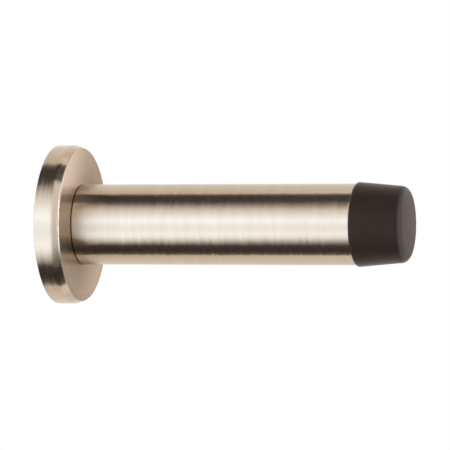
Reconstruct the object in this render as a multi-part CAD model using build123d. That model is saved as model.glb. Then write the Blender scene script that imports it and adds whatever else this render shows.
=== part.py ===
from build123d import *
from math import radians, tan
import os

# Wall door stop: a round rose on the wall carries a straight turned stem with a rubber buffer on its end.
# The rose is a cup that hides a plate screwed to the wall. A stud pressed into the plate holds the stem,
# and the stem's shoulder clamps the rose against the wall.
# The wall is the plane X = 0, the stop points along +X, +Z is up, and every size is in millimetres.

# Wall screws and the plate that they hold
SCREW_PITCH = 23.0
SCREW_HOLE_DIAMETER = 4.5
SCREW_HEAD_DIAMETER = 8.4
SCREW_HEAD_ANGLE = 90.0
PLATE_EDGE = 1.05
PLATE_THICKNESS = 3.0
PLATE_EDGE_BREAK = 0.3
PLATE_CLEARANCE = 0.25
PLATE_HEADROOM = 1.0

# Rose over the plate
ROSE_RIM_WALL = 2.0
ROSE_FACE_WALL = 2.0
ROSE_BEVEL_LENGTH = 1.8
ROSE_BEVEL_DROP = 0.7
ROSE_BEVEL_BLEND = 3.0
ROSE_EDGE_RADIUS = 0.5
ROSE_POCKET_BREAK = 0.5
ROSE_BACK_BREAK = 0.2

# Stud that joins the plate to the stem
STUD_DIAMETER = 8.0
STUD_ENGAGEMENT = 16.0
STUD_END_BREAK = 0.8
STUD_HEAD_DIAMETER = 10.0
STUD_HEAD_THICKNESS = 1.0
STUD_PRESS_CLEARANCE = 0.02
THREAD_CLEARANCE = 0.05
THREAD_MOUTH_BREAK = 0.5
THREAD_MOUTH_ANGLE = 90.0
THREAD_RUN_OUT = 2.0

# Stem
STEM_DIAMETER = 19.2
STEM_LENGTH = 68.0
STEM_EDGE_BREAK = 0.3
SPIGOT_DIAMETER = 12.0
SPIGOT_CLEARANCE = 0.1
DRILL_POINT_ANGLE = 118.0

# Rubber buffer with a peg that is pushed into the stem
BUFFER_BASE_DIAMETER = 20.0
BUFFER_TIP_DIAMETER = 17.8
BUFFER_LENGTH = 12.4
BUFFER_BACK_BREAK = 0.4
BUFFER_TIP_RADIUS = 1.9
BUFFER_DOME = 0.3
PEG_DIAMETER = 9.0
PEG_LENGTH = 14.0
PEG_LEAD = 1.0
PEG_CLEARANCE = 0.05
PEG_END_GAP = 1.0
BARB_HEIGHT = 0.7
BARB_LENGTH = 1.7
BARB_DISTANCE = 8.0

# Sizes and stations that follow from the ones above
plate_diameter = SCREW_PITCH + SCREW_HEAD_DIAMETER + 2 * PLATE_EDGE
pocket_diameter = plate_diameter + 2 * PLATE_CLEARANCE
pocket_depth = PLATE_THICKNESS + PLATE_HEADROOM
rose_diameter = pocket_diameter + 2 * ROSE_RIM_WALL
rose_front = pocket_depth + ROSE_FACE_WALL
stud_end = pocket_depth + STUD_ENGAGEMENT
buffer_seat = rose_front + STEM_LENGTH
buffer_tip = buffer_seat + BUFFER_LENGTH
peg_end = buffer_seat - PEG_LENGTH
barb_shoulder = buffer_seat - BARB_DISTANCE
barb_start = barb_shoulder - BARB_LENGTH
barb_diameter = PEG_DIAMETER + 2 * BARB_HEIGHT


def turned(*outline):
    """Revolves a closed outline of (distance from the wall, radius) corners about the stop's axis."""
    return revolve(make_face(Polyline(*outline, close=True)), Axis.X)


def bar(start, end, diameter):
    """A plain round bar on the stop's axis between two distances from the wall."""
    radius = diameter / 2
    return turned((start, 0), (start, radius), (end, radius), (end, 0))


def cone(start, diameter, full_angle, end_diameter=0.0, direction=1):
    """A cone on the stop's axis that narrows from one diameter to another, along +X or -X."""
    depth = (diameter - end_diameter) / 2 / tan(radians(full_angle / 2))
    end = start + direction * depth
    if end_diameter == 0:
        return turned((start, 0), (start, diameter / 2), (end, 0))
    return turned((start, 0), (start, diameter / 2), (end, end_diameter / 2), (end, 0))


def corner(section, station, radius):
    """The corner of a flat section that lies at one distance from the wall and one radius."""
    return section.vertices().sort_by_distance((station, radius))[0]


def make_fixing_plate():
    """The steel disc on the wall, countersunk from the front for two screws one above the other."""
    radius = plate_diameter / 2
    disc = turned(
        (0, 0),
        (0, radius),
        (PLATE_THICKNESS - PLATE_EDGE_BREAK, radius),
        (PLATE_THICKNESS, radius - PLATE_EDGE_BREAK),
        (PLATE_THICKNESS, 0),
    )
    shank_hole = bar(0, PLATE_THICKNESS, STUD_DIAMETER + 2 * STUD_PRESS_CLEARANCE)
    head_seat = bar(0, STUD_HEAD_THICKNESS, STUD_HEAD_DIAMETER + 2 * STUD_PRESS_CLEARANCE)
    screw_hole = bar(0, PLATE_THICKNESS, SCREW_HOLE_DIAMETER)
    screw_hole += cone(PLATE_THICKNESS, SCREW_HEAD_DIAMETER, SCREW_HEAD_ANGLE, SCREW_HOLE_DIAMETER, -1)
    upper = Pos(0, 0, SCREW_PITCH / 2) * screw_hole
    lower = Pos(0, 0, -SCREW_PITCH / 2) * screw_hole
    return disc - shank_hole - head_seat - upper - lower


def make_centre_stud():
    """The stud pressed into the plate from behind, its thin head flush with the wall face."""
    radius = STUD_DIAMETER / 2
    head_radius = STUD_HEAD_DIAMETER / 2
    return turned(
        (0, 0),
        (0, head_radius),
        (STUD_HEAD_THICKNESS, head_radius),
        (STUD_HEAD_THICKNESS, radius),
        (stud_end - STUD_END_BREAK, radius),
        (stud_end, radius - STUD_END_BREAK),
        (stud_end, 0),
    )


def make_rose():
    """The turned cup over the plate, with a bevelled front edge and a hole for the stem's spigot."""
    radius = rose_diameter / 2
    edge_radius = radius - ROSE_BEVEL_DROP
    bevel_start = rose_front - ROSE_BEVEL_LENGTH
    pocket_radius = pocket_diameter / 2
    hole_radius = SPIGOT_DIAMETER / 2 + SPIGOT_CLEARANCE
    outline = Polyline(
        (0, pocket_radius),
        (0, radius - ROSE_BACK_BREAK),
        (ROSE_BACK_BREAK, radius),
        (bevel_start, radius),
        (rose_front, edge_radius),
        (rose_front, hole_radius),
        (pocket_depth, hole_radius),
        (pocket_depth, pocket_radius - ROSE_POCKET_BREAK),
        (pocket_depth - ROSE_POCKET_BREAK, pocket_radius),
        close=True,
    )
    section = make_face(outline)
    section = fillet(corner(section, bevel_start, radius), ROSE_BEVEL_BLEND)
    section = fillet(corner(section, rose_front, edge_radius), ROSE_EDGE_RADIUS)
    return revolve(section, Axis.X)


def make_stem():
    """The turned bar: a spigot and a tapped hole at the rose end, a grooved blind bore at the buffer end."""
    radius = STEM_DIAMETER / 2
    spigot_radius = SPIGOT_DIAMETER / 2
    body = turned(
        (pocket_depth, 0),
        (pocket_depth, spigot_radius - STEM_EDGE_BREAK),
        (pocket_depth + STEM_EDGE_BREAK, spigot_radius),
        (rose_front, spigot_radius),
        (rose_front, radius - STEM_EDGE_BREAK),
        (rose_front + STEM_EDGE_BREAK, radius),
        (buffer_seat - STEM_EDGE_BREAK, radius),
        (buffer_seat, radius - STEM_EDGE_BREAK),
        (buffer_seat, 0),
    )
    thread_diameter = STUD_DIAMETER + 2 * THREAD_CLEARANCE
    thread_bottom = stud_end + THREAD_RUN_OUT
    mouth_diameter = thread_diameter + 2 * THREAD_MOUTH_BREAK
    tapped_hole = bar(pocket_depth, thread_bottom, thread_diameter)
    tapped_hole += cone(thread_bottom, thread_diameter, DRILL_POINT_ANGLE)
    tapped_hole += cone(pocket_depth, mouth_diameter, THREAD_MOUTH_ANGLE, thread_diameter)
    bore_diameter = PEG_DIAMETER + 2 * PEG_CLEARANCE
    bore_bottom = peg_end - PEG_END_GAP
    peg_bore = bar(bore_bottom, buffer_seat, bore_diameter)
    peg_bore += cone(bore_bottom, bore_diameter, DRILL_POINT_ANGLE, direction=-1)
    groove = bar(barb_start - PEG_CLEARANCE, barb_shoulder + PEG_CLEARANCE, barb_diameter + 2 * PEG_CLEARANCE)
    return body - tapped_hole - peg_bore - groove


def make_buffer():
    """The moulded rubber buffer: a tapered head with a slightly domed face, and a peg with a barb."""
    base_radius = BUFFER_BASE_DIAMETER / 2
    tip_radius = BUFFER_TIP_DIAMETER / 2
    face_edge = buffer_tip - BUFFER_DOME
    dome_radius = (tip_radius**2 + BUFFER_DOME**2) / (2 * BUFFER_DOME)
    back = Line((buffer_seat, 0), (buffer_seat, base_radius))
    side = Line(back @ 1, (face_edge, tip_radius))
    face = RadiusArc(side @ 1, (buffer_tip, 0), dome_radius)
    middle = Line(face @ 1, back @ 0)
    section = make_face([back, side, face, middle])
    section = chamfer(corner(section, buffer_seat, base_radius), BUFFER_BACK_BREAK)
    section = fillet(corner(section, face_edge, tip_radius), BUFFER_TIP_RADIUS)
    head = revolve(section, Axis.X)
    peg_radius = PEG_DIAMETER / 2
    peg = turned(
        (peg_end, 0),
        (peg_end, peg_radius - PEG_LEAD),
        (peg_end + PEG_LEAD, peg_radius),
        (barb_start, peg_radius),
        (barb_shoulder, barb_diameter / 2),
        (barb_shoulder, peg_radius),
        (buffer_seat, peg_radius),
        (buffer_seat, 0),
    )
    return head + peg


pieces = {
    "fixing_plate": make_fixing_plate(),
    "centre_stud": make_centre_stud(),
    "rose": make_rose(),
    "stem": make_stem(),
    "buffer": make_buffer(),
}

os.makedirs("parts", exist_ok=True)
for name, piece in pieces.items():
    piece.label = name
    export_step(piece, f"parts/{name}.step")
    box = piece.bounding_box()
    print(f"{name}: {piece.volume:.1f} mm3, {box.size.X:.2f} x {box.size.Y:.2f} x {box.size.Z:.2f} mm")
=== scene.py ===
# %% [markdown]
# # A wall door stop
# A round rose sits on the wall, a straight stem stands out of it and carries a rubber buffer that a
# door meets. The metal is brass with a warm satin nickel plate, brushed round and round while it turned
# in a lathe. The construction comes packed as a fixed frame, in metres, with the wall at X = 0 and the
# stem along +X. This lesson dresses that frame: it turns each piece again as a clean mesh, then makes
# the finishes, a small studio and the camera.

# %% Load the frame
from math import atan2, ceil, copysign, cos, pi, radians, sin, tan

import bmesh
import bpy
from mathutils import Matrix, Vector


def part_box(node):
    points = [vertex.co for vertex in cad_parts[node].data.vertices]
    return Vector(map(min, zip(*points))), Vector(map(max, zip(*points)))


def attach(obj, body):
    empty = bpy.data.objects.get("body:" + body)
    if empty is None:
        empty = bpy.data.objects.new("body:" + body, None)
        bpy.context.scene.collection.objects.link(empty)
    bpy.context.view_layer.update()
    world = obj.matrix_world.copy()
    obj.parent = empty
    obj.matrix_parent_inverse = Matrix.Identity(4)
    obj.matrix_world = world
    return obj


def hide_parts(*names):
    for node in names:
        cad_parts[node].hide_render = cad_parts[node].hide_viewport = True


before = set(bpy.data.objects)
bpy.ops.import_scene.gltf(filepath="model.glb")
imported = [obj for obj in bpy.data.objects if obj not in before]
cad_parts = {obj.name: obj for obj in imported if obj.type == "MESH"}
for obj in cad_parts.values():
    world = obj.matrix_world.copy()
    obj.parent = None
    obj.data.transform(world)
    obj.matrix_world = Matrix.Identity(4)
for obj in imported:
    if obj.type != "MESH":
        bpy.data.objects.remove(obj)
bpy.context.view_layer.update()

MM = 0.001

# %% [markdown]
# ## Sizes from the frame
# A piece that replaces a solid keeps its size, so the outer sizes are read from the frame's boxes. Only
# small sizes that a box can't show, such as a rounding or a bore, are written here again.

# %% Read the main sizes
rose_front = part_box("rose")[1].x
rose_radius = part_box("rose")[1].z
stem_start, stem_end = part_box("stem")[0].x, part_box("stem")[1].x
stem_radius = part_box("stem")[1].z
buffer_start, buffer_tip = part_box("buffer")[0].x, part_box("buffer")[1].x
stud_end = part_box("centre_stud")[1].x
stud_head_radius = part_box("centre_stud")[1].z
print(f"rose: {2 * rose_radius / MM:.1f} mm across, {rose_front / MM:.1f} mm thick")
print(f"stem: {2 * stem_radius / MM:.1f} mm thick")

# %% [markdown]
# ## Turning a piece
# Every piece of the stop is round, so each starts as half of its section, drawn in the XZ plane from a
# few corners, and is spun once about the X axis. A lathe never leaves a truly sharp corner, so a corner
# can carry a rounding, which becomes an arc of short steps. Smooth shading would bend a wide flat face
# towards the arc beside it, so each arc also gets a guard point close beyond both of its ends.

# %% Round a corner of a section
ARC_STEP = radians(5)
SMALL_ROUNDING = 0.25 * MM
SMALL_ARC_STEPS = 4
GUARD = 0.06 * MM


def rounded(before, here, after, radius):
    """The points of an arc that rounds one corner of a section, with a guard point beyond each end."""
    come = (here - before).normalized()
    go = (after - here).normalized()
    turn = atan2(come.cross(go), come.dot(go))
    reach = radius * tan(abs(turn) / 2)
    start = here - come * reach
    centre = start + Vector((-come.y, come.x)) * copysign(radius, turn)
    count = SMALL_ARC_STEPS if radius < SMALL_ROUNDING else ceil(abs(turn) / ARC_STEP)
    arc = [centre + Matrix.Rotation(turn * i / count, 2) @ (start - centre) for i in range(count + 1)]
    return [start - come * GUARD, *arc, here + go * (reach + GUARD)]


# %% Turn a section
TURN_STEPS = 240
MERGE_DISTANCE = 1e-7


def turned(corners, closed=False):
    """Spins a section of (distance from the wall, radius, rounding) corners about the X axis."""
    places = [Vector(corner[:2]) for corner in corners]
    points = []
    for i, (here, corner) in enumerate(zip(places, corners)):
        after = places[(i + 1) % len(places)]
        points += rounded(places[i - 1], here, after, corner[2]) if corner[2] else [here]
    bm = bmesh.new()
    verts = [bm.verts.new((point.x, 0.0, point.y)) for point in points]
    pairs = list(zip(verts, verts[1:])) + ([(verts[-1], verts[0])] if closed else [])
    edges = [bm.edges.new(pair) for pair in pairs]
    bmesh.ops.spin(
        bm, geom=verts + edges, cent=(0, 0, 0), axis=(1, 0, 0), dvec=(0, 0, 0),
        angle=2 * pi, steps=TURN_STEPS, use_merge=True, use_duplicate=False,
    )
    bmesh.ops.remove_doubles(bm, verts=bm.verts[:], dist=MERGE_DISTANCE)
    bmesh.ops.recalc_face_normals(bm, faces=bm.faces[:])
    return bm


# %% [markdown]
# A finished mesh becomes an object at the origin, shaded smooth except along edges that stay sharp. It
# rides on the frame's one body and stands for the solid that it replaces.

# %% Make a piece of a mesh
SHARP_ANGLE = radians(35)


def finished(name, bm, node):
    """Turns a bmesh into an object that stands for a node of the frame."""
    mesh = bpy.data.meshes.new(name)
    bm.to_mesh(mesh)
    bm.free()
    mesh.shade_smooth()
    mesh.set_sharp_from_angle(angle=SHARP_ANGLE)
    piece = bpy.data.objects.new(name, mesh)
    bpy.context.scene.collection.objects.link(piece)
    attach(piece, "root")
    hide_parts(node)
    print(f"{name}: {len(mesh.polygons)} faces, {tuple(round(d / MM, 2) for d in piece.dimensions)} mm")
    return piece


# %% [markdown]
# ## The rose
# The rose is a shallow turned cup. Its rim stands on the wall and leans in towards the front in a
# shallow bevel, with a soft start and a small rounding at the face. The stem's spigot fills the hole in
# the middle. Its section is a closed ring that never meets the axis. A cylinder with insets and bevels
# would do as well, but one spun section keeps every ring even, so the long reflections on the rim stay
# clean.

# %% Turn the rose
ROSE_BEVEL_LENGTH = 1.8 * MM
ROSE_BEVEL_DROP = 0.7 * MM
ROSE_BEVEL_BLEND = 3.0 * MM
ROSE_EDGE = 0.5 * MM
ROSE_WALL = 2.0 * MM
ROSE_BACK_BREAK = 0.2 * MM
POCKET_CORNER = 0.5 * MM
SPIGOT_RADIUS = 6.0 * MM
SPIGOT_CLEARANCE = 0.1 * MM
LATHE_BREAK = 0.08 * MM

edge_radius = rose_radius - ROSE_BEVEL_DROP
pocket_radius = rose_radius - ROSE_WALL
pocket_depth = rose_front - ROSE_WALL
hole_radius = SPIGOT_RADIUS + SPIGOT_CLEARANCE
rose = finished("rose_cover", turned([
    (0.0, pocket_radius, LATHE_BREAK),
    (0.0, rose_radius, ROSE_BACK_BREAK),
    (rose_front - ROSE_BEVEL_LENGTH, rose_radius, ROSE_BEVEL_BLEND),
    (rose_front, edge_radius, ROSE_EDGE),
    (rose_front, hole_radius, LATHE_BREAK),
    (pocket_depth, hole_radius, LATHE_BREAK),
    (pocket_depth, pocket_radius, POCKET_CORNER),
], closed=True), "rose")

# %% [markdown]
# ## The stem
# The stem is a plain bar with a narrow break at both ends, which, with a line of painted shade in the
# nickel, draws the thin dark seam where it meets the rose. Behind the shoulder a spigot centres the rose,
# with a hole for the stud. At the front a grooved bore takes the buffer's peg. Both holes end in the cone
# that a drill leaves, so the section starts and ends on the axis. The holes could be cut out of a bar with
# booleans, but as part of the section they leave no broken faces.

# %% Sizes inside the stem
STEM_BREAK = 0.3 * MM
THREAD_HOLE_RADIUS = 4.05 * MM
THREAD_HOLE_RUN_OUT = 2.0 * MM
THREAD_MOUTH = 0.5 * MM
PEG_RADIUS = 4.5 * MM
PEG_CLEARANCE = 0.05 * MM
PEG_END_GAP = 1.0 * MM
BARB_HEIGHT = 0.7 * MM
BARB_LENGTH = 1.7 * MM
BARB_DISTANCE = 8.0 * MM
DRILL_POINT_ANGLE = radians(118)

drill_slope = 1 / tan(DRILL_POINT_ANGLE / 2)
hole_end = stud_end + THREAD_HOLE_RUN_OUT
bore_radius = PEG_RADIUS + PEG_CLEARANCE
bore_end = buffer_start - PEG_END_GAP
barb_radius = PEG_RADIUS + BARB_HEIGHT
barb_shoulder = stem_end - BARB_DISTANCE
barb_start = barb_shoulder - BARB_LENGTH
groove_radius = barb_radius + PEG_CLEARANCE
groove_start = barb_start - PEG_CLEARANCE
groove_end = barb_shoulder + PEG_CLEARANCE
print(f"stud hole to {hole_end / MM:.1f} mm, peg bore to {bore_end / MM:.1f} mm from the wall")

# %% Turn the stem
stem = finished("stem_bar", turned([
    (hole_end + THREAD_HOLE_RADIUS * drill_slope, 0.0, 0.0),
    (hole_end, THREAD_HOLE_RADIUS, 0.0),
    (stem_start + THREAD_MOUTH, THREAD_HOLE_RADIUS, 0.0),
    (stem_start, THREAD_HOLE_RADIUS + THREAD_MOUTH, 0.0),
    (stem_start, SPIGOT_RADIUS, STEM_BREAK),
    (rose_front, SPIGOT_RADIUS, 0.0),
    (rose_front, stem_radius, STEM_BREAK),
    (stem_end, stem_radius, STEM_BREAK),
    (stem_end, bore_radius, LATHE_BREAK),
    (groove_end, bore_radius, 0.0),
    (groove_end, groove_radius, 0.0),
    (groove_start, groove_radius, 0.0),
    (groove_start, bore_radius, 0.0),
    (bore_end, bore_radius, 0.0),
    (bore_end - bore_radius * drill_slope, 0.0, 0.0),
]), "stem")

# %% [markdown]
# ## The buffer
# The buffer is moulded in one piece. Its head is a little wider than the stem, tapers towards the door
# and ends in a barely domed face with a soft edge. The dome is a few rings whose distance falls off
# with the square of their radius. The peg behind the head carries a barb that snaps into the stem's
# groove. A subdivided cylinder would give a soft edge too, but a section with an exact rounding keeps
# the solid's form.

# %% Turn the buffer
BUFFER_BASE_RADIUS = 10.0 * MM
BUFFER_TIP_RADIUS = 8.9 * MM
BUFFER_BACK_EDGE = 0.4 * MM
BUFFER_TIP_EDGE = 1.9 * MM
BUFFER_DOME = 0.3 * MM
PEG_LEAD = 1.0 * MM
DOME_RINGS = 10
DOME_INSET = 4 * GUARD

face_edge = buffer_tip - BUFFER_DOME
dome_reach = BUFFER_TIP_RADIUS - BUFFER_TIP_EDGE - DOME_INSET
dome = []
for ring in range(DOME_RINGS + 1):
    radius = dome_reach * (1 - ring / DOME_RINGS)
    dome.append((buffer_tip - BUFFER_DOME * (radius / BUFFER_TIP_RADIUS) ** 2, radius, 0.0))
buffer = finished("rubber_buffer", turned([
    (buffer_start, 0.0, 0.0),
    (buffer_start, PEG_RADIUS - PEG_LEAD, 0.0),
    (buffer_start + PEG_LEAD, PEG_RADIUS, 0.0),
    (barb_start, PEG_RADIUS, 0.0),
    (barb_shoulder, barb_radius, 0.0),
    (barb_shoulder, PEG_RADIUS, 0.0),
    (stem_end, PEG_RADIUS, 0.0),
    (stem_end, BUFFER_BASE_RADIUS, BUFFER_BACK_EDGE),
    (face_edge, BUFFER_TIP_RADIUS, BUFFER_TIP_EDGE),
    *dome,
]), "buffer")

# %% [markdown]
# ## The stud
# The stud is pressed into the plate from behind and holds the stem by its thread. A thread is a helix,
# so it isn't spun: a finely divided bar is turned first, then each point of its shank is pulled in by
# how far it lies from the crest that winds past it. The depth fades in where the thread starts, as a
# cut thread does.

# %% Turn the stud
STUD_RADIUS = 4.0 * MM
STUD_HEAD = 1.0 * MM
STUD_END_BREAK = 0.8 * MM
THREAD_PITCH = 1.25 * MM
THREAD_START = 4.0 * MM
POINTS_PER_PITCH = 10

thread_length = stud_end - STUD_END_BREAK - THREAD_START
thread_rings = round(thread_length / THREAD_PITCH * POINTS_PER_PITCH)
shank = []
for ring in range(thread_rings + 1):
    shank.append((THREAD_START + thread_length * ring / thread_rings, STUD_RADIUS, 0.0))
stud_mesh = turned([
    (0.0, 0.0, 0.0),
    (0.0, stud_head_radius, LATHE_BREAK),
    (STUD_HEAD, stud_head_radius, LATHE_BREAK),
    (STUD_HEAD, STUD_RADIUS, 0.0),
    *shank,
    (stud_end, STUD_RADIUS - STUD_END_BREAK, 0.0),
    (stud_end, 0.0, 0.0),
])
print(f"thread: {thread_length / THREAD_PITCH:.1f} turns in {thread_rings} rings")

# %% Cut the thread
THREAD_DEPTH = 0.75 * MM
THREAD_FADE = 1.0 * MM

for vert in stud_mesh.verts:
    along = vert.co.x - THREAD_START
    if not 0 < along <= thread_length + MERGE_DISTANCE:
        continue
    turn = along / THREAD_PITCH - atan2(vert.co.z, vert.co.y) / (2 * pi)
    depth = THREAD_DEPTH * abs(2 * (turn % 1) - 1) * min(1, along / THREAD_FADE)
    vert.co.yz = vert.co.yz * (1 - depth / STUD_RADIUS)
stud = finished("threaded_stud", stud_mesh, "centre_stud")

# %% [markdown]
# ## Node helpers
# A material is a small graph of nodes. A few helpers keep the graphs short: one adds a node and sets or
# links its inputs, and the others wrap the nodes that come up again and again. Effects that several
# finishes share are node groups, so another helper starts a group with its named inputs and outputs.

# %% Helpers for nodes
def connect(tree, node, values):
    """Sets or links a node's inputs, given by name or number."""
    for key, value in values.items():
        if isinstance(value, bpy.types.NodeSocket):
            tree.links.new(value, node.inputs[key])
        else:
            node.inputs[key].default_value = value


def add(tree, kind, values=None, **settings):
    """Adds a node, sets its properties, and sets or links its inputs."""
    node = tree.nodes.new(kind)
    for key, value in settings.items():
        setattr(node, key, value)
    connect(tree, node, values or {})
    return node


def math(tree, operation, a, b=0.0):
    """A math node's result."""
    return add(tree, "ShaderNodeMath", {0: a, 1: b}, operation=operation).outputs[0]


def vector_math(tree, operation, *vectors):
    """A vector math node's result."""
    return add(tree, "ShaderNodeVectorMath", dict(enumerate(vectors)), operation=operation).outputs[0]


# %% Helpers for values and colours
def mapped(tree, value, start, end, low=0.0, high=1.0, **settings):
    """A value that goes from low to high while another goes from start to end."""
    limits = {0: value, 1: start, 2: end, 3: low, 4: high}
    return add(tree, "ShaderNodeMapRange", limits, **settings).outputs[0]


def mixed(tree, share, a, b):
    """A blend of two colours."""
    return add(tree, "ShaderNodeMix", {"Factor": share, "A": a, "B": b}, data_type="RGBA").outputs["Result"]


def object_place(tree):
    """A point's place on the object."""
    return add(tree, "ShaderNodeTexCoord").outputs["Object"]


def object_axes(tree):
    """A point's x, y and z on the object."""
    return add(tree, "ShaderNodeSeparateXYZ", {0: object_place(tree)}).outputs


def radius_of(tree, y, z):
    """The distance of a point from the X axis."""
    return math(tree, "SQRT", math(tree, "ADD", math(tree, "MULTIPLY", y, y), math(tree, "MULTIPLY", z, z)))


# %% Start a group or a material
def new_group(name, inputs, outputs):
    """A shader node group with float inputs, given with their defaults, and float outputs."""
    group = bpy.data.node_groups.new(name, "ShaderNodeTree")
    for socket, default in inputs.items():
        made = group.interface.new_socket(socket, in_out="INPUT", socket_type="NodeSocketFloat")
        made.default_value = default
    for socket in outputs:
        group.interface.new_socket(socket, in_out="OUTPUT", socket_type="NodeSocketFloat")
    return group, group.nodes.new("NodeGroupInput"), group.nodes.new("NodeGroupOutput")


def new_material(name):
    """An empty material with a Principled BSDF, and its node tree."""
    material = bpy.data.materials.new(name)
    material.use_nodes = True
    tree = material.node_tree
    tree.nodes.clear()
    shader = tree.nodes.new("ShaderNodeBsdfPrincipled")
    output = tree.nodes.new("ShaderNodeOutputMaterial")
    tree.links.new(shader.outputs["BSDF"], output.inputs["Surface"])
    return material, tree, shader


# %% [markdown]
# ## Turning marks
# Brushing in a lathe leaves fine lines that run round the axis, on the bar as on the flat face of the
# rose. An image could carry them, but it would need a seamless unwrap of every piece. Instead a
# four-dimensional noise is read at the distance along the axis, the radius, and the sine and cosine of
# the angle. It changes fast along the section and slowly round it, so it draws long streaks that close
# on themselves.

# %% Build the group of turning marks
STREAKS_PER_METRE = {"Fine": 3200.0, "Broad": 700.0}
TURNS_PER_STREAK = 0.7


def build_turning_marks():
    """A group that puts out fine and broad streaks, from 0 to 1, that run round the X axis."""
    inputs = {f"{name} per metre": rate for name, rate in STREAKS_PER_METRE.items()}
    inputs["Turns per streak"] = TURNS_PER_STREAK
    group, given, out = new_group("Turning marks", inputs, list(STREAKS_PER_METRE))
    x, y, z = object_axes(group)
    radius = radius_of(group, y, z)
    turns = given.outputs["Turns per streak"]
    for name in STREAKS_PER_METRE:
        per_metre = given.outputs[f"{name} per metre"]
        position = add(group, "ShaderNodeCombineXYZ", {
            0: math(group, "MULTIPLY", x, per_metre),
            1: math(group, "MULTIPLY", math(group, "DIVIDE", y, radius), turns),
            2: math(group, "MULTIPLY", math(group, "DIVIDE", z, radius), turns),
        })
        noise = add(group, "ShaderNodeTexNoise", {
            "Vector": position.outputs[0],
            "W": math(group, "MULTIPLY", radius, per_metre),
            "Scale": 1.0, "Detail": 1.0, "Roughness": 0.6,
        }, noise_dimensions="4D")
        group.links.new(noise.outputs["Fac"], out.inputs[name])
    return group


turning_marks = build_turning_marks()
print("group:", turning_marks.name)

# %% [markdown]
# ## Mottling
# Plated steel and moulded rubber are never quite even. One more group gives two sizes of soft blotches
# in Object coordinates: grain for the feel of the surface, and clouds for slow changes of tone. Noise
# keeps to the middle of its range, so a last helper spreads that middle over the values that a finish
# needs.

# %% Build the group of mottling
SPOTS_PER_METRE = {"Grain": 6000.0, "Clouds": 300.0}
SPOT_DETAIL = {"Grain": 2.0, "Clouds": 3.0}
NOISE_MIDDLE = (0.3, 0.7)
NOISE_CENTRE = 0.5


def build_mottling():
    """A group that puts out fine grain and slow clouds, from 0 to 1."""
    inputs = {f"{name} per metre": rate for name, rate in SPOTS_PER_METRE.items()}
    group, given, out = new_group("Mottling", inputs, list(SPOTS_PER_METRE))
    place = object_place(group)
    for name, detail in SPOT_DETAIL.items():
        noise = add(group, "ShaderNodeTexNoise", {
            "Vector": place,
            "Scale": given.outputs[f"{name} per metre"],
            "Detail": detail, "Roughness": 0.55,
        })
        group.links.new(noise.outputs["Fac"], out.inputs[name])
    return group


def spread(tree, noise, low=0.0, high=1.0):
    """The middle of a noise's range, spread from low to high."""
    return mapped(tree, noise, *NOISE_MIDDLE, low, high)


mottling = build_mottling()
print("group:", mottling.name)

# %% [markdown]
# ## Rings of painted light and shade
# A few places look different from the rest of their piece, and each is a ring painted into the colour
# to stand for light or shade. A painted highlight lights the rose's front edge at its sides, painted shade
# darkens the rose's face close above and below the stem, a dark line of painted shade fills the groove
# where the stem stands on the rose, and a painted highlight pales the rubber's rounded edge. Masks
# painted in images would need unwraps, but a ring can be found by its distance from the wall and its
# radius, and faded by its height above or below the axis. Each limit is a pair: where the ring starts to
# show, and where it is full. A ring that names no height is full at any height.

# %% Build the group of ring masks
ANY_HEIGHT = (2.0, 1.0)


def build_ring_mask():
    """A group that rises from 0 to 1 between two distances from the wall, two radii and two heights."""
    group, given, out = new_group("Ring mask", {
        "X none": 0.0, "X full": 0.0,
        "Radius none": 0.0, "Radius full": 0.0,
        "Height none": ANY_HEIGHT[0], "Height full": ANY_HEIGHT[1],
    }, ["Mask"])
    x, y, z = object_axes(group)
    measures = {"X": x, "Radius": radius_of(group, y, z), "Height": math(group, "ABSOLUTE", z)}
    mask = 1.0
    for name, value in measures.items():
        step = mapped(group, value, given.outputs[f"{name} none"], given.outputs[f"{name} full"])
        mask = math(group, "MULTIPLY", step, mask)
    group.links.new(mask, out.inputs["Mask"])
    return group


ring_mask = build_ring_mask()
print("group:", ring_mask.name)


# %% Lay a ring over a colour
def ringed(tree, colour, ring_colour, **limits):
    """A colour with a ring of another laid over it, between pairs of limits for x, radius and height."""
    values = {}
    for name, (none, full) in limits.items():
        values |= {f"{name.capitalize()} none": none, f"{name.capitalize()} full": full}
    ring = add(tree, "ShaderNodeGroup", values, node_tree=ring_mask)
    return mixed(tree, ring.outputs["Mask"], colour, ring_colour)


def beside(station, steps):
    """A pair of limits, given as steps from one station."""
    return tuple(station + step for step in steps)


# %% [markdown]
# ## Satin nickel
# Warm satin nickel is a metal with a beige tint. The brush lines blur reflections across themselves and
# leave them crisp along themselves, which is what anisotropy does: the tangent runs round the axis, and
# a quarter turn lays the blur across the lines. The streaks vary roughness and tone a little, and lift
# a very fine bump. No brush line runs quite true, so each also leans the surface a little to one side,
# which frays the edges of the reflections. All of them lean slightly outwards, so that the rose's flat
# face gleams as if barely domed.

# %% Colour the nickel
NICKEL_DARK = (0.632, 0.533, 0.434, 1.0)
NICKEL_LIGHT = (0.660, 0.558, 0.456, 1.0)
# A painted highlight: the rose's front edge is lit brighter at its sides, where a bright light glints on
# it.
PAINTED_EDGE_HIGHLIGHT = (0.96, 0.91, 0.85, 1.0)
PAINTED_EDGE_HIGHLIGHT_X = (-0.8 * ROSE_EDGE, -0.6 * ROSE_EDGE)
PAINTED_EDGE_HIGHLIGHT_RADIUS = (-0.9 * ROSE_EDGE, -0.7 * ROSE_EDGE)
PAINTED_EDGE_HIGHLIGHT_HEIGHT = (0.70 * rose_radius, 0.50 * rose_radius)
# Painted shade: the rose's face is darker close above and below the stem.
PAINTED_STEM_SHADE = (0.47, 0.385, 0.305, 1.0)
PAINTED_STEM_SHADE_X = (STEM_BREAK, 0.3 * STEM_BREAK)
PAINTED_STEM_SHADE_RADIUS = (6.5 * MM, 1.0 * MM)
PAINTED_STEM_SHADE_HEIGHT = (0.4 * stem_radius, 0.9 * stem_radius)
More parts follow.
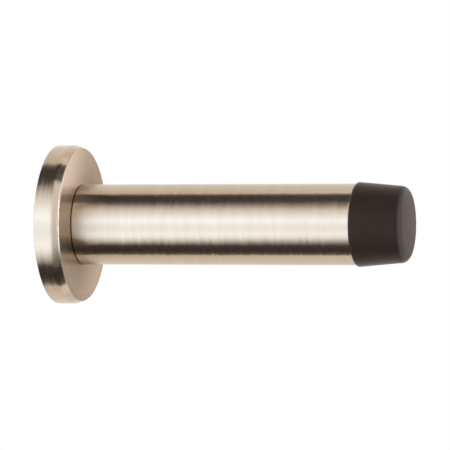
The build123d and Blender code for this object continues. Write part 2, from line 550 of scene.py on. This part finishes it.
# Painted shade: a dark line in the groove where the stem stands on the rose.
PAINTED_SEAM_SHADE = (0.30, 0.23, 0.17, 1.0)
PAINTED_SEAM_SHADE_X = (STEM_BREAK, 0.5 * STEM_BREAK)
PAINTED_SEAM_SHADE_RADIUS = (0.7 * STEM_BREAK, 0.3 * STEM_BREAK)


def nickel_colour(tree, marks):
    """The beige of the plate, with its streaks, a painted highlight on the rose's edge and painted shade by
    the stem.
    """
    colour = mixed(tree, spread(tree, marks.outputs["Broad"]), NICKEL_DARK, NICKEL_LIGHT)
    colour = ringed(
        tree, colour, PAINTED_EDGE_HIGHLIGHT,
        x=beside(rose_front, PAINTED_EDGE_HIGHLIGHT_X),
        radius=beside(edge_radius, PAINTED_EDGE_HIGHLIGHT_RADIUS),
        height=PAINTED_EDGE_HIGHLIGHT_HEIGHT)
    colour = ringed(
        tree, colour, PAINTED_STEM_SHADE,
        x=beside(rose_front, PAINTED_STEM_SHADE_X),
        radius=beside(stem_radius, PAINTED_STEM_SHADE_RADIUS),
        height=PAINTED_STEM_SHADE_HEIGHT)
    return ringed(
        tree, colour, PAINTED_SEAM_SHADE,
        x=beside(rose_front, PAINTED_SEAM_SHADE_X),
        radius=beside(stem_radius, PAINTED_SEAM_SHADE_RADIUS))


# %% Lean and lift the brush lines
BRUSH_LEAN = 0.09
OUTWARD_LEAN = 0.05
BRUSH_STRENGTH = 0.15
BRUSH_DEPTH = 0.01 * MM
ACROSS_AXIS = (0.0, 1.0, 1.0)


def brushed_normal(tree, fine, tangent):
    """The surface's direction, leaning with the fine streaks and slightly outwards, with a fine bump."""
    lean = math(tree, "MULTIPLY", math(tree, "SUBTRACT", fine, NOISE_CENTRE), BRUSH_LEAN)
    aside = add(tree, "ShaderNodeVectorMath", {0: tangent, "Scale": lean}, operation="SCALE").outputs[0]
    straight = add(tree, "ShaderNodeNewGeometry").outputs["Normal"]
    leaning = vector_math(tree, "ADD", straight, aside)
    across = vector_math(tree, "MULTIPLY", object_place(tree), ACROSS_AXIS)
    outward = vector_math(tree, "NORMALIZE", across)
    leaning = vector_math(tree, "MULTIPLY_ADD", outward, (OUTWARD_LEAN,) * 3, leaning)
    return add(tree, "ShaderNodeBump", {
        "Height": fine, "Strength": BRUSH_STRENGTH, "Distance": BRUSH_DEPTH,
        "Normal": vector_math(tree, "NORMALIZE", leaning),
    }).outputs["Normal"]


# %% Make the satin nickel
NICKEL_ROUGHNESS = (0.22, 0.245)
NICKEL_GLANCE = (0.90, 0.82, 0.75, 1.0)
QUARTER_TURN = 0.25


def make_satin_nickel():
    """Brushed nickel plate with lathe lines about the X axis."""
    material, tree, shader = new_material("satin_nickel")
    marks = add(tree, "ShaderNodeGroup", node_tree=turning_marks)
    fine = marks.outputs["Fine"]
    tangent = add(tree, "ShaderNodeTangent", direction_type="RADIAL", axis="X").outputs["Tangent"]
    connect(tree, shader, {
        "Base Color": nickel_colour(tree, marks),
        "Roughness": spread(tree, fine, *NICKEL_ROUGHNESS),
        "Normal": brushed_normal(tree, fine, tangent),
        "Tangent": tangent,
        "Metallic": 1.0,
        "Anisotropic": 1.0,
        "Anisotropic Rotation": QUARTER_TURN,
        "Specular Tint": NICKEL_GLANCE,
    })
    return material


satin_nickel = make_satin_nickel()
for piece in (rose, stem):
    piece.data.materials.append(satin_nickel)
print("material:", satin_nickel.name)

# %% [markdown]
# ## Dark rubber
# The buffer is a brown-black rubber with a matt skin. Its colour is nearly even, with a faint
# cloudiness and a painted highlight round its tip, and a fine grain in the bump breaks the reflection into
# a soft sheen that grows towards the edges.

# %% Make the rubber
RUBBER_DARK = (0.0230, 0.0160, 0.0130, 1.0)
RUBBER_LIGHT = (0.0265, 0.0187, 0.0154, 1.0)
RUBBER_ROUGHNESS = (0.38, 0.46)
RUBBER_GLANCE = (1.0, 0.77, 0.63, 1.0)
RUBBER_SHEEN = (1.0, 0.70, 0.51, 1.0)
# A painted highlight: the rubber's rounded edge is paler, where it glances a bright light at the right.
PAINTED_TIP_HIGHLIGHT = (0.074, 0.063, 0.061, 1.0)
PAINTED_TIP_HIGHLIGHT_X = (-0.58 * BUFFER_TIP_EDGE, -0.24 * BUFFER_TIP_EDGE)
PAINTED_TIP_HIGHLIGHT_RADIUS = (-0.84 * BUFFER_TIP_EDGE, -0.53 * BUFFER_TIP_EDGE)


def make_dark_rubber():
    """Moulded brown-black rubber."""
    material, tree, shader = new_material("dark_rubber")
    spots = add(tree, "ShaderNodeGroup", node_tree=mottling)
    grain = spots.outputs["Grain"]
    colour = mixed(tree, spread(tree, spots.outputs["Clouds"]), RUBBER_DARK, RUBBER_LIGHT)
    colour = ringed(
        tree, colour, PAINTED_TIP_HIGHLIGHT,
        x=beside(face_edge, PAINTED_TIP_HIGHLIGHT_X),
        radius=beside(BUFFER_TIP_RADIUS, PAINTED_TIP_HIGHLIGHT_RADIUS))
    bump = add(tree, "ShaderNodeBump", {"Height": grain, "Strength": 0.35, "Distance": 0.03 * MM})
    connect(tree, shader, {
        "Base Color": colour,
        "Roughness": spread(tree, grain, *RUBBER_ROUGHNESS),
        "Normal": bump.outputs["Normal"],
        "Specular IOR Level": 0.15,
        "Specular Tint": RUBBER_GLANCE,
        "Sheen Weight": 0.26,
        "Sheen Roughness": 0.35,
        "Sheen Tint": RUBBER_SHEEN,
    })
    return material


dark_rubber = make_dark_rubber()
buffer.data.materials.append(dark_rubber)
print("material:", dark_rubber.name)

# %% [markdown]
# ## Zinc plate
# The fixing plate and the stud are steel with a thin zinc plate: pale grey, dull, with a crystalline
# cloudiness. They show from behind, inside the rose. The plate's solid has the right shape as it is, so
# it stays and only gets the finish.

# %% Make the zinc plate and dress the fixing plate
ZINC_DARK = (0.50, 0.505, 0.50, 1.0)
ZINC_LIGHT = (0.60, 0.605, 0.60, 1.0)
ZINC_ROUGHNESS = (0.36, 0.52)
ZINC_SPOTS = {"Grain per metre": 2500.0, "Clouds per metre": 700.0}


def make_zinc_plate():
    """Dull zinc plate on steel."""
    material, tree, shader = new_material("zinc_plated_steel")
    spots = add(tree, "ShaderNodeGroup", ZINC_SPOTS, node_tree=mottling)
    grain = spots.outputs["Grain"]
    bump = add(tree, "ShaderNodeBump", {"Height": grain, "Strength": 0.25, "Distance": 0.02 * MM})
    connect(tree, shader, {
        "Base Color": mixed(tree, spread(tree, spots.outputs["Clouds"]), ZINC_DARK, ZINC_LIGHT),
        "Roughness": spread(tree, grain, *ZINC_ROUGHNESS),
        "Normal": bump.outputs["Normal"],
        "Metallic": 1.0,
    })
    return material


zinc_plate = make_zinc_plate()
stud.data.materials.append(zinc_plate)
plate_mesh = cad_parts["fixing_plate"].data
plate_mesh.materials.clear()
plate_mesh.materials.append(zinc_plate)
print("material:", zinc_plate.name)

# %% [markdown]
# ## The studio
# Satin metal shows the room, so the room is the finish's other half. One even light would be simpler,
# but it would draw no bands on the metal. So the room is built of cards that shine by themselves. The
# camera doesn't see them and they cast no shadow. Only reflections see most of them, but the softbox
# also lights the rubber and the floor, and the world is white around it all.

# %% Cards that shine
def card(name, corners, material, lights_all=False):
    """A flat card of the studio that the camera doesn't see."""
    bm = bmesh.new()
    bm.faces.new([bm.verts.new(corner) for corner in corners])
    mesh = bpy.data.meshes.new(name)
    bm.to_mesh(mesh)
    bm.free()
    mesh.materials.append(material)
    made = bpy.data.objects.new(name, mesh)
    bpy.context.scene.collection.objects.link(made)
    made.visible_camera = False
    made.visible_shadow = False
    made.visible_transmission = False
    made.visible_diffuse = lights_all
    print("card:", name)


def glow(name, colour, strength):
    """A material that shines evenly."""
    material = bpy.data.materials.new(name)
    material.use_nodes = True
    tree = material.node_tree
    tree.nodes.clear()
    shine = add(tree, "ShaderNodeEmission", {"Color": colour, "Strength": strength})
    output = tree.nodes.new("ShaderNodeOutputMaterial")
    tree.links.new(shine.outputs[0], output.inputs["Surface"])
    return material


# %% [markdown]
# Level cards above and below the stop run along it. Dark flags draw the two dark bands of the stem, in
# a deep and a less deep tone. The right end of the upper flag is pale, because the rose's bevel mirrors
# it. Behind the flags, warm cards in four tones draw the beige edges. A card is placed by the two
# angles between which the stop's axis sees it, measured up or down from the front horizon.

# %% Flags and warm cards
ROOM_LEFT, ROOM_RIGHT = -2.5, 2.5
FLAG_HEIGHT = 0.4
UPPER_SPLIT = 0.16
UPPER_SHADE = (0.80, 0.74, 0.76, 1.0)
LOWER_SHADE = (0.80, 0.72, 0.68, 1.0)
PALE_SHADE = (1.0, 0.9, 0.8, 1.0)
FLAGS = [
    ("upper_flag", FLAG_HEIGHT, (65, 78), (ROOM_LEFT, UPPER_SPLIT), UPPER_SHADE, 0.055),
    ("upper_black", FLAG_HEIGHT, (78, 95.3), (ROOM_LEFT, UPPER_SPLIT), UPPER_SHADE, 0.024),
    ("upper_pale", FLAG_HEIGHT, (65, 95.3), (UPPER_SPLIT, ROOM_RIGHT), PALE_SHADE, 0.42),
    ("lower_flag", -FLAG_HEIGHT, (63, 72), (ROOM_LEFT, ROOM_RIGHT), LOWER_SHADE, 0.080),
    ("lower_black", -FLAG_HEIGHT, (72, 96.4), (ROOM_LEFT, ROOM_RIGHT), LOWER_SHADE, 0.050),
]
WARM_SPAN = (ROOM_LEFT, 0.0)
WARM_TONES = {
    (96, 112): (0.80, 0.69, 0.58, 1.0),
    (112, 126): (0.90, 0.85, 0.78, 1.0),
    (126, 146): (0.95, 0.98, 0.99, 1.0),
    (146, 175): (1.06, 1.15, 1.20, 1.0),
}


def level_card(name, height, angles, span, material):
    """A level card along X, between two angles about the axis."""
    front, back = (-abs(height) / tan(radians(angle)) for angle in angles)
    left, right = span
    corners = [(left, front), (right, front), (right, back), (left, back)]
    card(name, [(x, y, height) for x, y in corners], material)


for name, height, angles, span, shade, level in FLAGS:
    level_card(name, height, angles, span, glow(name, shade, level))
for angles, tone in WARM_TONES.items():
    warm = glow(f"warm_{angles[0]}", tone, 1.0)
    level_card(f"upper_warm_{angles[0]}", FLAG_HEIGHT, angles, WARM_SPAN, warm)
    level_card(f"lower_warm_{angles[0]}", -FLAG_HEIGHT, angles, WARM_SPAN, warm)

# %% [markdown]
# The upright cards aren't even. The softbox in front is brightest a little above and below the lens and
# falls off towards its long edges, where it also turns warmer. So a card's glow follows a ramp: a few
# levels, each at the angle above the horizon at which the stop sees it. A card can also stretch its
# ramp from left to right, or blend into a second ramp.

# %% Light that follows a ramp
ROOM_LOW, ROOM_HIGH = -1.9, 2.1
SOFTBOX_DISTANCE = 0.9
FULL_LEVEL = 1.5
STRETCH_SPAN = (-0.6, 0.1)
BLEND_SPAN = (0.1, 0.7)


def ramp_colour(tree, height, ramp, bright, dim):
    """A colour that follows a ramp of levels over the angle at which the stop sees a height."""
    levels = add(tree, "ShaderNodeValToRGB", {0: mapped(tree, height, ROOM_LOW, ROOM_HIGH)})
    steps = levels.color_ramp.elements
    steps.remove(steps[1])
    for number, (angle, level) in enumerate(ramp.items()):
        position = (SOFTBOX_DISTANCE * tan(radians(angle)) - ROOM_LOW) / (ROOM_HIGH - ROOM_LOW)
        step = steps.new(position) if number else steps[0]
        step.position = position
        mix = min(level / FULL_LEVEL, 1.0)
        step.color = (*(level * (b * mix + d * (1 - mix)) for b, d in zip(bright, dim)), 1.0)
    return levels.outputs["Color"]


def ramp_glow(name, ramp, bright, dim, stretch=(1.0, 1.0), right_ramp=None):
    """Light that follows a ramp over height. Along X it can stretch, or blend into a second ramp."""
    material = glow(name, (1.0, 1.0, 1.0, 1.0), 1.0)
    tree = material.node_tree
    x, _, z = object_axes(tree)
    height = math(tree, "MULTIPLY", z, mapped(tree, x, *STRETCH_SPAN, *stretch))
    colour = ramp_colour(tree, height, ramp, bright, dim)
    if right_ramp:
        right_colour = ramp_colour(tree, height, right_ramp, bright, dim)
        colour = mixed(tree, mapped(tree, x, *BLEND_SPAN), colour, right_colour)
    shine = next(node for node in tree.nodes if node.type == "EMISSION")
    tree.links.new(colour, shine.inputs["Color"])
    return material


# %% Hang the softbox
SOFTBOX_RIGHT = 0.1
SOFTBOX_STRETCH = (0.65, 1.39)
COOL_WHITE = (0.88, 0.976, 1.083)
WARM_WHITE = (1.02, 0.87, 0.64)
SOFTBOX_RAMP = {
    -64: 0.05, -59: 0.06, -54: 0.09, -51.3: 0.20, -48.9: 0.50, -46: 0.95, -41: 1.41,
    -35: 1.73, -27: 1.88, -13: 1.57, 0: 1.69, 8: 1.90, 17: 1.77, 25: 1.47, 34: 1.18,
    42: 0.93, 46: 0.76, 48: 0.53, 49.7: 0.16, 51.5: 0.05, 65: 0.03,
}


def upright_card(name, start, end, material, lights_all=False):
    """An upright card between two points of the floor plan."""
    corners = [(*start, ROOM_LOW), (*end, ROOM_LOW), (*end, ROOM_HIGH), (*start, ROOM_HIGH)]
    card(name, corners, material, lights_all)


softbox_left = (ROOM_LEFT, -SOFTBOX_DISTANCE)
softbox_right = (SOFTBOX_RIGHT, -SOFTBOX_DISTANCE)
softbox_glow = ramp_glow("softbox", SOFTBOX_RAMP, COOL_WHITE, WARM_WHITE, SOFTBOX_STRETCH)
upright_card("front_softbox", softbox_left, softbox_right, softbox_glow, lights_all=True)

# %% [markdown]
# The rose's bevel mirrors what stands at the right, and its face what stands at the right and behind. A
# chain of upright cards closes that side: a pale card in two leaves, a dark flag, a narrow bright strip
# that the rose's rounded edge mirrors, a side wall, and a rear wall whose right end is brighter.

# %% Stand the walls
WALL_PLAN = [
    (0.16, -0.9), (0.39, -0.75), (0.62, -0.55), (0.95, -0.33),
    (0.99, -0.1), (1.0, 0.9), (0.0, 0.9),
]
WALL_PALE = (1.0, 0.96, 0.92)
WALL_WARM = (1.0, 0.89, 0.77)
WALL_BROWN = (1.0, 0.76, 0.58, 1.0)
BROWN_LEVEL = 0.11
RIGHT_RAMP = {-60: 0.22, -35: 0.62, -15: 1.02, 0: 1.12, 20: 1.28, 45: 1.60, 60: 1.45}
TURN_RAMP = {-60: 0.11, 10: 0.11, 22: 0.45, 33: 0.65, 40: 0.95, 47: 1.40, 53: 1.40, 58: 0.30, 63: 0.11}
STRIP_RAMP = {-60: 1.60, -35: 2.80, -10: 4.00, 15: 4.00, 30: 3.40, 42: 1.20, 55: 0.60}
SIDE_RAMP = {-50: 0.85, -30: 0.36, -8: 0.45, 8: 0.70, 25: 0.80, 40: 0.60}
REAR_RAMP = {-50: 0.75, -30: 0.60, 0: 0.60, 30: 0.75, 50: 0.75}
CORNER_RAMP = {-55: 1.00, -32: 0.40, -8: 0.45, 4: 1.15, 11: 2.15, 20: 2.15, 30: 1.00, 45: 0.60}

wall_glows = [
    ramp_glow("right_card", RIGHT_RAMP, WALL_PALE, WALL_WARM),
    ramp_glow("right_turn", TURN_RAMP, WALL_PALE, WALL_WARM),
    glow("right_flag", WALL_BROWN, BROWN_LEVEL),
    ramp_glow("right_strip", STRIP_RAMP, WALL_PALE, WALL_WARM),
    ramp_glow("side_wall", SIDE_RAMP, WALL_PALE, WALL_WARM),
    ramp_glow("rear_wall", REAR_RAMP, WALL_PALE, WALL_WARM, right_ramp=CORNER_RAMP),
]
for start, end, wall_glow in zip(WALL_PLAN, WALL_PLAN[1:], wall_glows):
    upright_card(wall_glow.name, start, end, wall_glow)

# %% [markdown]
# ## Floor and world
# The floor is a plain pale sheet well below the stop, where it takes a soft shadow. It fades out with
# distance, so no view shows its edge. The world is white where the camera or a reflection looks at it,
# and gives even light to everything else.

# %% Lay the floor
FLOOR_Z = -0.5
FLOOR_HALF = 3.0
FLOOR_FADE = (2.6, 0.8)
FLOOR_WHITE = (0.92, 0.92, 0.92, 1.0)


def make_floor():
    """The pale floor."""
    bm = bmesh.new()
    bmesh.ops.create_grid(bm, x_segments=1, y_segments=1, size=FLOOR_HALF)
    bmesh.ops.translate(bm, verts=bm.verts[:], vec=(0, 0, FLOOR_Z))
    mesh = bpy.data.meshes.new("floor")
    bm.to_mesh(mesh)
    bm.free()
    material, tree, shader = new_material("pale_floor")
    length = add(tree, "ShaderNodeVectorMath", {0: object_place(tree)}, operation="LENGTH")
    connect(tree, shader, {
        "Base Color": FLOOR_WHITE,
        "Roughness": 0.9,
        "Specular IOR Level": 0.1,
        "Alpha": mapped(tree, length.outputs["Value"], *FLOOR_FADE, interpolation_type="SMOOTHSTEP"),
    })
    mesh.materials.append(material)
    made = bpy.data.objects.new("floor", mesh)
    bpy.context.scene.collection.objects.link(made)
    made.visible_glossy = False
    return made


print(make_floor().name, "at", FLOOR_Z)

# %% Light the world
ROOM_LIGHT = 0.85


def make_world():
    """White to the camera and to reflections, softer to everything else."""
    world = bpy.data.worlds.new("white_room")
    world.use_nodes = True
    tree = world.node_tree
    tree.nodes.clear()
    path = tree.nodes.new("ShaderNodeLightPath")
    seen = math(tree, "ADD", path.outputs["Is Camera Ray"], path.outputs["Is Glossy Ray"])
    seen = math(tree, "MINIMUM", math(tree, "ADD", seen, path.outputs["Is Transmission Ray"]), 1.0)
    strength = mapped(tree, seen, 0.0, 1.0, ROOM_LIGHT, 1.0)
    shine = add(tree, "ShaderNodeBackground", {"Color": (1, 1, 1, 1), "Strength": strength})
    output = tree.nodes.new("ShaderNodeOutputWorld")
    tree.links.new(shine.outputs[0], output.inputs["Surface"])
    bpy.context.scene.world = world
    return world


world = make_world()
print("world:", world.name)

# %% [markdown]
# ## The camera
# The photograph looks level at the stop from its front right, turned a little towards the buffer,
# through a long lens. The lens is given by how many pixels of the picture cover one unit of length at
# one unit away. A view without perspective would be simpler, but the stem would not grow towards the
# lens as it does there.

# %% Place the camera
PICTURE_WIDTH = 450
FOCAL_PIXELS = 3373
SENSOR_WIDTH = 36.0
CAMERA_AZIMUTH = radians(16.25)
CAMERA_DISTANCE = 0.8
AIM = Vector((0.04142, 0.0, -0.00013))

lens = bpy.data.cameras.new("camera")
lens.sensor_width = SENSOR_WIDTH
lens.lens = SENSOR_WIDTH * FOCAL_PIXELS / PICTURE_WIDTH
camera = bpy.data.objects.new("camera", lens)
bpy.context.scene.collection.objects.link(camera)
back = Vector((sin(CAMERA_AZIMUTH), -cos(CAMERA_AZIMUTH), 0.0))
camera.location = AIM + back * CAMERA_DISTANCE
camera.rotation_euler = (-back).to_track_quat("-Z", "Y").to_euler()
bpy.context.scene.camera = camera
bpy.context.scene.view_settings.view_transform = "Standard"
print("camera at", tuple(round(c, 4) for c in camera.location), "lens", round(lens.lens, 1))
